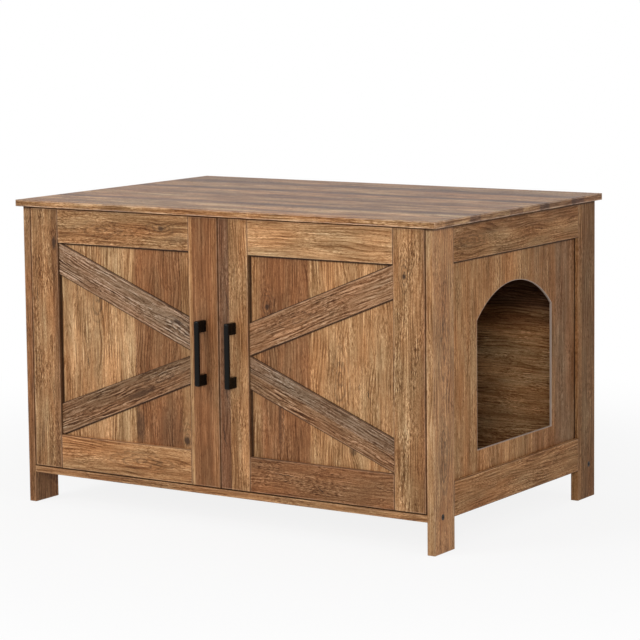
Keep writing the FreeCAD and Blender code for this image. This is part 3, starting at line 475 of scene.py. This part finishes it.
def dressBoard(name, way, planks, seed, **changes):
    # planks are (start as a share of the width, tone, brightness) from the low side;
    # spots are (across, along, half width, half length, strength, push), loops the same without a push,
    # splits are (across, along, length, width, lean); their places are shares of the board too
    look = {**woodLook, **changes}
    along, across, deep = (Vector(axis) for axis in way)

    def inBoard(place):
        return Vector([place.dot(axis) for axis in (across, along, deep)]) * millimetres

    def boxInBoard(low, high):
        # middle and half size of a box, in the board's own millimetres
        size = (high - low) * (millimetres / 2)
        half = Vector([sum(abs(a * b) for a, b in zip(size, axis)) for axis in (across, along, deep)])
        return inBoard((low + high) / 2), half

    low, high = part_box(name)
    middleHere, halfHere = boxInBoard(low, high)
    if "brace" in look:
        middleHere = inBoard(look["brace"]["middle"])
        halfHere.x = look["brace"]["halfWide"]
    material, tree, shader = newMaterial(name + "Wood")
    coordinates = tree.nodes.new("ShaderNodeTexCoord").outputs
    point = vectorCalc(tree, "SCALE", coordinates["Object"], millimetres)
    space = placeGroup(tree, boardSpace, point=coordinates["Object"],
                       facing=coordinates["Normal"], along=along, across=across, deep=deep)

    def spotOn(acrossShare, alongShare):
        return Vector((middleHere.x + (acrossShare * 2 - 1) * halfHere.x,
                       middleHere.y + (alongShare * 2 - 1) * halfHere.y, middleHere.z))

    def shaded(colour, mask, strength, tone=jointAndShadeTone):
        return blendColours(tree, calc(tree, "MULTIPLY", mask, strength), colour, tone)

    push, dark = 0.0, 0.0
    for acrossShare, alongShare, wide, long, strength, pull in look["spots"]:
        one = placeGroup(tree, spotGroup, place=space["Place"], centre=spotOn(acrossShare, alongShare),
                         wide=wide, long=long)
        push = calc(tree, "ADD", push, calc(tree, "MULTIPLY", one["Push"], pull))
        dark = calc(tree, "MAXIMUM", dark, calc(tree, "MULTIPLY", one["Mask"], strength))
    for acrossShare, alongShare, length, width, lean in look["splits"]:
        one = placeGroup(tree, splitGroup, place=space["Place"], centre=spotOn(acrossShare, alongShare),
                         length=length, width=width, lean=lean)
        dark = calc(tree, "MAXIMUM", dark, calc(tree, "MULTIPLY", one["Mask"], shading["split"]))
    for acrossShare, alongShare, wide, long, strength in look["loops"]:
        one = placeGroup(tree, loopGroup, place=space["Place"], centre=spotOn(acrossShare, alongShare),
                         wide=wide, long=long)
        dark = calc(tree, "MAXIMUM", dark, calc(tree, "MULTIPLY", one["Mask"], strength))
    fromSide = calc(tree, "SUBTRACT", splitXyz(tree, space["Place"])[0], middleHere.x - halfHere.x)
    tone = plankColour(tree, calc(tree, "DIVIDE", fromSide, halfHere.x * 2), planks, look["seam"])
    wood = placeGroup(tree, woodPrint, print=space["Print"], push=push, dark=dark, tone=tone, seed=seed,
                      streaks=look["streaks"], crackle=look["crackle"], blotches=look["blotches"],
                      rings=look["rings"], furrows=look["furrows"])
    edge = placeGroup(tree, edgeLines, place=space["Place"], middle=middleHere, half=halfHere,
                      width=look["edgeWidth"])
    # a pale line just inside each edge: a painted edge highlight, patchy like wear
    colour = shaded(wood["Color"], edge["Worn"], look["worn"], look["wornTone"])
    colour = shaded(colour, edge["Joint"], look["joint"])
    if "opening" in look:
        # painted shade in the corner all round a panel, and along each brace that lies on it
        openMiddle, openHalf = boxInBoard(*look["opening"])
        corner = placeGroup(tree, edgeLines, place=space["Place"], width=look["grime"],
                            middle=openMiddle, half=openHalf)
        grime = corner["Joint"]
        for brace in look["braces"]:
            grime = calc(tree, "MAXIMUM", grime, paintedBraceShade(tree, point, brace))
        # on the panel's outer face only
        outward = look["outward"]
        outside = calc(tree, "GREATER_THAN", vectorCalc(tree, "DOT_PRODUCT", point, outward),
                       (low + high).dot(outward) * (millimetres / 2))
        colour = shaded(colour, grime, calc(tree, "MULTIPLY", outside, shading["grime"]))
    if "lid" in look:
        # a line of shade close under the top board
        below = calc(tree, "SUBTRACT", look["lid"] * millimetres, splitXyz(tree, point)[2])
        shade = remap(tree, below, *shading["lidReach"], shading["underLid"], 0.0, smooth=True)
        colour = blendColours(tree, shade, colour, jointAndShadeTone)
    if "reveal" in look:
        # the narrow faces that step down to the panel lie in shade
        revealMiddle, revealHalf = boxInBoard(*look["reveal"])
        inside = placeGroup(tree, insideGroup, place=space["Place"], middle=revealMiddle, half=revealHalf)
        colour = shaded(colour, inside["Mask"], shading["reveal"])
    if "rim" in look:
        # the arch's pale raw cut, and a painted edge highlight round it on the face
        colour = shaded(colour, archRim(tree, point), arch["strength"], arch["tone"])
    plug(tree, shader.inputs["Base Color"], colour)
    plug(tree, shader.inputs["Roughness"], wood["Roughness"])
    shader.inputs["Specular IOR Level"].default_value = look["shine"]
    bump = tree.nodes.new("ShaderNodeBump")
    bump.inputs["Strength"].default_value = look["bump"]
    bump.inputs["Distance"].default_value = look["bumpDepth"]
    plug(tree, bump.inputs["Height"], wood["Height"])
    plug(tree, shader.inputs["Normal"], bump.outputs["Normal"])
    dress(name, material)


braces = {
    # the lower left brace is trimmed where it would meet the one above it
    "endHeight": 0.0575, "trimmed": "left_door_lower_brace", "trim": 0.0085,
}


def braceShape(name):
    # a brace's own grain way, middle and half width, and for each long edge a point on it
    # (in millimetres) with the way out
    low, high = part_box(name)
    trim = braces["trim"] if name == braces["trimmed"] else 0.0
    end = braces["endHeight"]
    rise = high.z - low.z + trim - end
    if name.startswith("left") == ("upper" in name):
        left, right = (low.z + rise, high.z), (low.z, low.z + end)
    else:
        left, right = (low.z, low.z + end), (low.z + rise, high.z)
    corners = [(Vector((low.x, low.y, left[i])), Vector((high.x, low.y, right[i]))) for i in (0, 1)]
    under, over = ((start * millimetres, (finish - start).normalized()) for start, finish in corners)
    inward, outward = Vector((0, 1, 0)), Vector((0, -1, 0))
    return {
        "way": (under[1], inward.cross(under[1]), inward),
        "middle": Vector(((low.x + high.x) / 2, (low.y + high.y) / 2, (low.z + high.z + trim) / 2)),
        "halfWide": end * under[1].x * millimetres / 2,
        "top": (over[0], over[1].cross(outward) * -1),
        "underside": (under[0], under[1].cross(outward)),
    }


boards = {
    "left_door_outer_stile": {
        "way": "upright", "seed": 1, "crackle": 1.3,
        "planks": [(0, "amber", 0.95), (0.4, "straw", 0.9), (0.52, "amber", 1.0), (0.78, "chestnut", 0.85)],
        "spots": [(0.86, 0.87, 5, 14, 0.85, 0.4), (0.9, 0.6, 4, 60, 0.3, 0), (0.3, 0.12, 4, 30, 0.35, 0)],
        "splits": [(0.2, 0.66, 46, 0.8, 0.05), (0.74, 0.3, 60, 0.7, -0.03)]},
    "left_door_inner_stile": {
        "way": "upright", "seed": 2, "crackle": 0.3, "rings": 0.2, "blotches": 0.6,
        "planks": [(0, "honey", 1.0), (0.12, "russet", 0.95), (0.8, "chestnut", 0.9)]},
    "right_door_inner_stile": {
        "way": "upright", "seed": 3, "crackle": 0.9,
        "planks": [(0, "umber", 1.15), (0.36, "amber", 1.0), (0.7, "amber", 1.12)],
        "spots": [(0.2, 0.5, 6, 120, 0.35, 0)],
        "splits": [(0.2, 0.38, 70, 1.2, 0.18), (0.14, 0.2, 50, 1.1, 0.15), (0.28, 0.7, 40, 1.0, 0.2)]},
    "right_door_outer_stile": {
        "way": "upright", "seed": 4, "crackle": 1.3,
        "planks": [(0, "honey", 0.95), (0.5, "amber", 0.95), (0.9, "chestnut", 0.95)],
        "spots": [(0.35, 0.83, 4, 5, 0.95, 0.6)], "loops": [(0.35, 0.83, 18, 44, 0.6)]},
    "left_door_panel": {
        "way": "upright", "seed": 5, "crackle": 0.7, "rings": 0.8,
        "planks": [(0, "straw", 0.95), (0.3, "straw", 1.05), (0.57, "russet", 1.08), (0.9, "amber", 1.0)],
        "spots": [(0.93, 0.06, 8, 9, 0.9, 0.6), (0.6, 0.1, 10, 34, 0.6, 0), (0.8, 0.08, 40, 60, 0.35, 0)],
        "loops": [(0.3, 0.72, 30, 80, 0.55), (0.93, 0.08, 26, 44, 0.5)],
        "splits": [(0.22, 0.4, 22, 1.0, 0.1), (0.575, 0.3, 200, 0.8, 0.0), (0.15, 0.78, 60, 0.6, 0.0)]},
    "right_door_panel": {
        "way": "upright", "seed": 6, "crackle": 0.7, "rings": 0.8,
        "planks": [(0, "amber", 1.0), (0.09, "russet", 0.98), (0.42, "honey", 1.08), (0.85, "honey", 0.97)],
        "spots": [(0.14, 0.74, 5, 6, 0.9, 0.6), (0.7, 0.1, 7, 8, 0.6, 0.6), (0.22, 0.2, 5, 60, 0.5, 0)],
        "loops": [(0.14, 0.74, 24, 44, 0.55), (0.62, 0.42, 30, 90, 0.5)],
        "splits": [(0.8, 0.37, 18, 1.2, 0.3), (0.74, 0.4, 14, 1.0, -0.2), (0.24, 0.22, 150, 0.7, 0.02)]},
    "left_door_top_rail": {
        "way": "level", "seed": 11, "crackle": 1.0, "planks": [(0, "amber", 1.12)],
        "spots": [(0.6, 0.8, 5, 8, 0.8, 0.6), (0.3, 0.92, 8, 26, 0.35, 0)],
        "loops": [(0.6, 0.8, 22, 50, 0.5), (0.45, 0.35, 26, 110, 0.4)]},
    "left_door_bottom_rail": {
        "way": "level", "seed": 12, "rings": 1.0, "planks": [(0, "amber", 1.12), (0.5, "amber", 1.28)],
        "loops": [(0.5, 0.62, 26, 110, 0.5)]},
    "right_door_top_rail": {
        "way": "level", "seed": 13, "crackle": 0.6, "planks": [(0, "straw", 0.98)]},
    "right_door_bottom_rail": {
        "way": "level", "seed": 14, "crackle": 1.2, "planks": [(0, "russet", 0.97), (0.7, "russet", 0.85)],
        "splits": [(0.3, 0.5, 30, 0.9, 0.8), (0.6, 0.25, 60, 0.8, 0.05)]},
    "back_panel": {
        "way": "level", "seed": 15, "rings": 0.9,
        # the planks are paler low down and darker towards the top: painted light where the arch lets light
        # in, and painted shade of the cabinet's inside above
        "planks": [(0, "amber", 1.2), (0.17, "honey", 1.15), (0.33, "amber", 1.35),
                   (0.5, "chestnut", 1.0), (0.57, "umber", 1.0), (0.74, "toffee", 0.85),
                   (0.88, "chestnut", 0.85)]},
    "left_front_leg": {"way": "uprightSide", "seed": 21, "planks": [(0, "chestnut", 0.92)]},
    "left_rear_leg": {"way": "uprightSide", "seed": 22, "planks": [(0, "walnut", 1.0)]},
    "right_front_leg": {
        "way": "uprightSide", "seed": 23,
        "planks": [(0, "straw", 0.76), (0.02, "amber", 1.24), (0.5, "walnut", 1.46)],
        "loops": [(0.5, 0.62, 26, 130, 0.6), (0.5, 0.3, 28, 110, 0.6)]},
    "right_rear_leg": {
        "way": "uprightSide", "seed": 24, "shine": 0.05, "worn": 0.3,
        "planks": [(0, "walnut", 1.0), (0.2, "toffee", 0.97)]},
    "left_side_panel": {
        "way": "uprightSide", "seed": 25,
        "planks": [(0, "chestnut", 1.0), (0.4, "honey", 1.0), (0.7, "russet", 1.0)]},
    "right_side_panel": {
        "way": "uprightSide", "seed": 26, "rings": 0.3, "shine": 0.05,
        "planks": [(0, "walnut", 1.3), (0.3, "walnut", 1.22), (0.42, "walnut", 1.46), (0.55, "walnut", 1.25),
                   (0.63, "toffee", 1.3), (0.82, "bark", 1.22)],
        "splits": [(0.72, 0.5, 380, 0.7, 0.0)]},
    "left_side_top_rail": {"way": "levelSide", "seed": 31, "planks": [(0, "walnut", 1.0)]},
    "left_side_bottom_rail": {"way": "levelSide", "seed": 32, "planks": [(0, "chestnut", 1.0)]},
    "right_side_top_rail": {
        "way": "levelSide", "seed": 33, "shine": 0.05,
        "planks": [(0, "walnut", 1.14), (0.6, "toffee", 1.28)],
        "loops": [(0.5, 0.12, 24, 90, 0.45)]},
    "right_side_bottom_rail": {
        "way": "levelSide", "seed": 34, "shine": 0.05, "planks": [(0, "walnut", 1.22)]},
    "top_panel": {
        "way": "flat", "seed": 41, "shine": 0.15, "streaks": 1.6, "blotches": 2.0, "seam": 0.004,
        "worn": 0.75, "edgeWidth": 0.9, "wornTone": linear(226, 194, 170),
        "planks": [(0, "amber", 1.02), (0.05, "walnut", 0.85), (0.1, "honey", 0.9), (0.19, "umber", 0.95),
                   (0.25, "walnut", 1.0), (0.34, "honey", 0.82), (0.42, "russet", 0.8),
                   (0.5, "amber", 0.95), (0.6, "umber", 0.9), (0.66, "amber", 0.88), (0.8, "umber", 0.85),
                   (0.88, "walnut", 0.85)]},
    "bottom_panel": {"way": "flat", "seed": 42, "planks": [(0, "amber", 1.0), (0.3, "chestnut", 1.0)]},
}
shadedEdge = 0.0008  # how far the shaded narrow faces reach past their edges
for name, look in boards.items():
    plain = name in ("top_panel", "bottom_panel") or name.endswith("_leg")
    look["joint"] = 0.0 if plain else shading["joint"]
for side in ("left", "right"):
    door, frameSide = boards[side + "_door_panel"], boards[side + "_side_panel"]
    inner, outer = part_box(side + "_door_inner_stile"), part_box(side + "_door_outer_stile")
    lowRail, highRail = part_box(side + "_door_bottom_rail"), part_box(side + "_door_top_rail")
    left, right = min(inner[1].x, outer[1].x), max(inner[0].x, outer[0].x)
    # painted shade lies at the top and sides of a door's panel, not on the ledge below
    below = Vector((0, 0, 2 * woodLook["grime"] / millimetres))
    door["opening"] = (Vector((left, 0, lowRail[1].z)) - below, Vector((right, 0, highRail[0].z)))
    door["outward"] = Vector((0, -1, 0))
    door["braces"] = [side + "_door_upper_brace", side + "_door_lower_brace"]
    # the step back from the door's face to its panel
    stepFront, stepRear = inner[0].y + 1.5 * shadedEdge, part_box(side + "_door_panel")[0].y + shadedEdge
    for piece in ("inner_stile", "outer_stile", "top_rail"):
        boards[side + "_door_" + piece]["reveal"] = (
            Vector((left - shadedEdge, stepFront, lowRail[1].z)),
            Vector((right + shadedEdge, stepRear, highRail[0].z + shadedEdge)))
    front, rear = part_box(side + "_front_leg"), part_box(side + "_rear_leg")
    lowRail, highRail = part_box(side + "_side_bottom_rail"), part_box(side + "_side_top_rail")
    frameSide["opening"] = (Vector((0, front[1].y, lowRail[1].z)) - below,
                            Vector((0, rear[0].y, highRail[0].z)))
    frameSide["outward"] = Vector((1 if side == "right" else -1, 0, 0))
    frameSide["braces"] = []
    for piece in ("front_leg", "rear_leg", "side_top_rail"):
        boards[side + "_" + piece]["lid"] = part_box("top_panel")[0].z
boards["right_side_panel"]["rim"] = True
for name, look in boards.items():
    dressBoard(name, grainWays[look["way"]], **{word: look[word] for word in look if word != "way"})
print("boards dressed")

# the braces are rough-sawn: greyer, furrowed and without growth rings
braceLook = {
    "streaks": 0.8, "crackle": 1.0, "rings": 0.0, "shine": 0.14, "joint": shading["joint"],
}
bracePlanks = {
    "left_door_upper_brace": [(0, "ash", 1.07)],
    "left_door_lower_brace": [(0, "bark", 1.0), (0.6, "bark", 1.1)],
    "right_door_upper_brace": [(0, "bark", 1.26), (0.5, "bark", 1.42)],
    "right_door_lower_brace": [(0, "ash", 0.82), (0.5, "bark", 1.15)],
}
braceSpots = {
    "left_door_upper_brace": [(0.35, 0.87, 5, 12, 0.9, 0.6)],
    "left_door_lower_brace": [(0.7, 0.6, 7, 40, 0.6, 0)],
}
braceLoops = {
    "left_door_upper_brace": [(0.5, 0.92, 28, 70, 0.7)],
    "left_door_lower_brace": [(0.5, 0.75, 26, 90, 0.45)],
    "right_door_upper_brace": [(0.5, 0.35, 26, 100, 0.4)],
}
braceFurrows = {"left_door_upper_brace": 1.25, "right_door_upper_brace": 0.8}
for seed, (name, planks) in enumerate(bracePlanks.items(), 51):
    shape = braceShape(name)
    dressBoard(name, shape["way"], planks, seed, brace=shape, furrows=braceFurrows.get(name, 1.0),
               spots=braceSpots.get(name, ()), loops=braceLoops.get(name, ()), **braceLook)
print("braces dressed")


# sizes of the mottling against the finish's own grain, of the smears per metre, and the bump's depth
fineMarks = {"mottle": 0.31, "smear": 90.0, "bumpDepth": 0.0002}


def makeFineFinish():
    # fine mottling for hard finishes: one value for the colour, one for the gloss, one for the bump
    tree, given, made = newGroup("fineFinish", [("Place", "v"), ("Grain", "f"), ("Stretch", "v")],
                                 [("Mottle", "f"), ("Smear", "f"), ("Height", "f")])
    place = vectorCalc(tree, "MULTIPLY", vectorCalc(tree, "SCALE", given["Place"], given["Grain"]),
                       given["Stretch"])
    plug(tree, made["Height"], noise(tree, place, 3.0, 0.6))
    mottle = noise(tree, vectorCalc(tree, "SCALE", place, fineMarks["mottle"]), 3.0, 0.6)
    smear = noise(tree, vectorCalc(tree, "SCALE", given["Place"], fineMarks["smear"]), 2.0)
    plug(tree, made["Mottle"], remap(tree, mottle, 0.35, 0.65))
    plug(tree, made["Smear"], remap(tree, smear, 0.4, 0.6))
    return tree


fineFinish = makeFineFinish()
# dark and pale colour, grain per metre and its stretch, roughness low and high, bump, metal and shine
finishes = {
    "blackSatin": {"dark": linear(8, 7, 6), "pale": linear(14, 13, 11), "grain": 2200,
                   "stretch": (1, 1, 1), "rough": (0.13, 0.19), "bump": 0.08, "metal": 0.0, "shine": 0.12},
    "nickelSteel": {"dark": linear(176, 174, 168), "pale": linear(214, 212, 206), "grain": 1500,
                    "stretch": (1, 1, 0.08), "rough": (0.22, 0.36), "bump": 0.1, "metal": 1.0, "shine": 0.5},
    "castZinc": {"dark": linear(140, 140, 138), "pale": linear(178, 178, 174), "grain": 1800,
                 "stretch": (1, 1, 1), "rough": (0.38, 0.52), "bump": 0.25, "metal": 1.0, "shine": 0.5},
    "darkBronze": {"dark": linear(34, 28, 24), "pale": linear(62, 52, 44), "grain": 2000,
                   "stretch": (1, 1, 1), "rough": (0.34, 0.5), "bump": 0.15, "metal": 0.7, "shine": 0.5},
    "paleNylon": {"dark": linear(222, 218, 206), "pale": linear(238, 235, 226), "grain": 1200,
                  "stretch": (1, 1, 1), "rough": (0.42, 0.55), "bump": 0.12, "metal": 0.0, "shine": 0.4},
    "beech": {"dark": linear(196, 156, 112), "pale": linear(226, 190, 148), "grain": 1400,
              "stretch": (0.06, 1, 1), "rough": (0.5, 0.65), "bump": 0.3, "metal": 0.0, "shine": 0.3},
}


def makeFinish(name, look):
    material, tree, shader = newMaterial(name)
    place = tree.nodes.new("ShaderNodeTexCoord").outputs["Object"]
    fine = placeGroup(tree, fineFinish, place=place, grain=look["grain"], stretch=look["stretch"])
    plug(tree, shader.inputs["Base Color"], blendColours(tree, fine["Mottle"], look["dark"], look["pale"]))
    plug(tree, shader.inputs["Roughness"], remap(tree, fine["Smear"], 0, 1, *look["rough"]))
    shader.inputs["Metallic"].default_value = look["metal"]
    shader.inputs["Specular IOR Level"].default_value = look["shine"]
    bump = tree.nodes.new("ShaderNodeBump")
    bump.inputs["Strength"].default_value = look["bump"]
    bump.inputs["Distance"].default_value = fineMarks["bumpDepth"]
    plug(tree, bump.inputs["Height"], fine["Height"])
    plug(tree, shader.inputs["Normal"], bump.outputs["Normal"])
    return material


finishOf = {
    "blackSatin": ["left_handle", "right_handle"],
    "darkBronze": ["bottom_screws"],
    "castZinc": ["cam_locks"],
    "paleNylon": ["magnetic_catches"],
    "beech": ["side_frame_dowels", "top_dowels", "left_door_dowels", "right_door_dowels"],
}
# all that is no board, no brace and not named above is nickel plated
placed = [*boards, *bracePlanks, *(name for names in finishOf.values() for name in names)]
finishOf["nickelSteel"] = [name for name in nodes if name not in placed]
for finish, look in finishes.items():
    material = makeFinish(finish, look)
    for name in finishOf[finish]:
        dress(name, material)
print("hardware dressed")

# the edges of the boards and the handles are softened a little
edges = {
    # endings of the name: width in metres, segments, least corner in degrees, kept from overlapping
    ("_leg", "_rail", "_stile", "_panel", "_brace"): (0.0006, 2, 50, False),
    ("_handle",): (0.0005, 3, 30, True),
}
joining = {"weld": 1e-5, "flat": 0.5}  # metres, degrees


def softenEdges(piece, width, segments, corner, clamped):
    # the triangles of each flat face are joined first, so that only real edges are rounded
    weld = piece.modifiers.new("weld", "WELD")
    weld.merge_threshold = joining["weld"]
    flat = piece.modifiers.new("flat", "DECIMATE")
    flat.decimate_type = "DISSOLVE"
    flat.angle_limit = math.radians(joining["flat"])
    soft = piece.modifiers.new("soft", "BEVEL")
    soft.width = width
    soft.segments = segments
    soft.limit_method = "ANGLE"
    soft.angle_limit = math.radians(corner)
    soft.use_clamp_overlap = clamped


for name, piece in nodes.items():
    for endings, edge in edges.items():
        if name.endswith(endings):
            softenEdges(piece, *edge)
print("edges softened")

studio = {
    "floorColour": (0.82, 0.82, 0.82, 1), "floorSize": 30.0, "floorRoughness": 0.9, "floorShine": 0.1,
    "glowNear": 0.86, "glowFar": 1.0, "nearRadius": 0.6, "farRadius": 1.6,
    "worldStrength": 0.34,
    # name: place, aim, width, height, watts
    "lamps": {
        "keyLight": ((-1.5, -2.7, 2.3), (0, 0, 0.3), 1.4, 1.1, 40),
        "cornerLight": ((2.1, -3.4, 1.5), (0.3, 0, 0.25), 1.0, 0.8, 56),
        "rightLight": ((3.2, -0.8, 1.4), (0.2, 0, 0.3), 1.6, 1.4, 9),
        "topLight": ((0, 0.1, 3.0), (0, 0, 0.3), 2.4, 2.4, 16),
    },
}


def seenShare(tree):
    # 1 where the surface is seen straight, in a reflection or through glass
    path = tree.nodes.new("ShaderNodeLightPath").outputs
    return calc(tree, "MAXIMUM", calc(tree, "MAXIMUM", path["Is Camera Ray"], path["Is Glossy Ray"]),
                path["Is Transmission Ray"])


def makeFloor():
    # a pale floor that melts into a white background away from the cabinet
    size = studio["floorSize"]
    mesh = bpy.data.meshes.new("floor")
    mesh.from_pydata([(-size, -size, 0), (size, -size, 0), (size, size, 0), (-size, size, 0)],
                     [], [(0, 1, 2, 3)])
    floor = bpy.data.objects.new("floor", mesh)
    bpy.context.scene.collection.objects.link(floor)
    material, tree, shader = newMaterial("paleFloor")
    shader.inputs["Base Color"].default_value = studio["floorColour"]
    shader.inputs["Roughness"].default_value = studio["floorRoughness"]
    shader.inputs["Specular IOR Level"].default_value = studio["floorShine"]
    away = vectorCalc(tree, "LENGTH", tree.nodes.new("ShaderNodeTexCoord").outputs["Object"])
    share = remap(tree, away, studio["nearRadius"], studio["farRadius"],
                  studio["glowNear"], studio["glowFar"], smooth=True)
    glow = tree.nodes.new("ShaderNodeEmission")
    mixer = tree.nodes.new("ShaderNodeMixShader")
    plug(tree, mixer.inputs[0], calc(tree, "MULTIPLY", seenShare(tree), share))
    tree.links.new(shader.outputs[0], mixer.inputs[1])
    tree.links.new(glow.outputs[0], mixer.inputs[2])
    tree.links.new(mixer.outputs[0], tree.nodes["Material Output"].inputs["Surface"])
    mesh.materials.append(material)


def makeAir():
    world = bpy.data.worlds.new("studioAir")
    bpy.context.scene.world = world
    world.use_nodes = True
    tree = world.node_tree
    tree.nodes["Background"].inputs["Color"].default_value = (1, 1, 1, 1)
    plug(tree, tree.nodes["Background"].inputs["Strength"],
         remap(tree, seenShare(tree), 0, 1, studio["worldStrength"], 1.0))


def softbox(name, place, target, wide, high, watts):
    data = bpy.data.lights.new(name, "AREA")
    data.shape = "RECTANGLE"
    data.size, data.size_y = wide, high
    data.energy = watts
    lamp = bpy.data.objects.new(name, data)
    bpy.context.scene.collection.objects.link(lamp)
    lamp.location = place
    way = Vector(target) - Vector(place)
    lamp.rotation_euler = way.to_track_quat("-Z", "Y").to_euler()


makeFloor()
makeAir()
for name, (place, target, wide, high, watts) in studio["lamps"].items():
    softbox(name, place, target, wide, high, watts)
print("studio ready")

# the photograph's viewpoint; pixels is the focal length in pixels of the frame
camera = {
    "place": (2.5510, -3.8143, 0.9771), "turn": 33.483, "down": 6.493, "roll": -0.615,
    "pixels": 2502.2, "frame": 640, "shiftUp": -0.1, "sensor": 36.0, "near": 0.1, "far": 100,
}
camData = bpy.data.cameras.new("camera")
camData.sensor_width = camera["sensor"]
camData.lens = camera["pixels"] / camera["frame"] * camera["sensor"]
camData.shift_y = camera["shiftUp"]
camData.clip_start, camData.clip_end = camera["near"], camera["far"]
cam = bpy.data.objects.new("camera", camData)
bpy.context.scene.collection.objects.link(cam)
turn, down, roll = (math.radians(camera[word]) for word in ("turn", "down", "roll"))
ahead = Vector((-math.sin(turn) * math.cos(down), math.cos(turn) * math.cos(down),
                -math.sin(down)))
right = Vector((math.cos(turn), math.sin(turn), 0))
up = right.cross(ahead)
tiltedRight = right * math.cos(roll) + up * math.sin(roll)
tiltedUp = up * math.cos(roll) - right * math.sin(roll)
cam.matrix_world = Matrix((
    (tiltedRight.x, tiltedUp.x, -ahead.x, camera["place"][0]),
    (tiltedRight.y, tiltedUp.y, -ahead.y, camera["place"][1]),
    (tiltedRight.z, tiltedUp.z, -ahead.z, camera["place"][2]),
    (0, 0, 0, 1)))
bpy.context.scene.camera = cam
bpy.context.scene.view_settings.view_transform = "Standard"
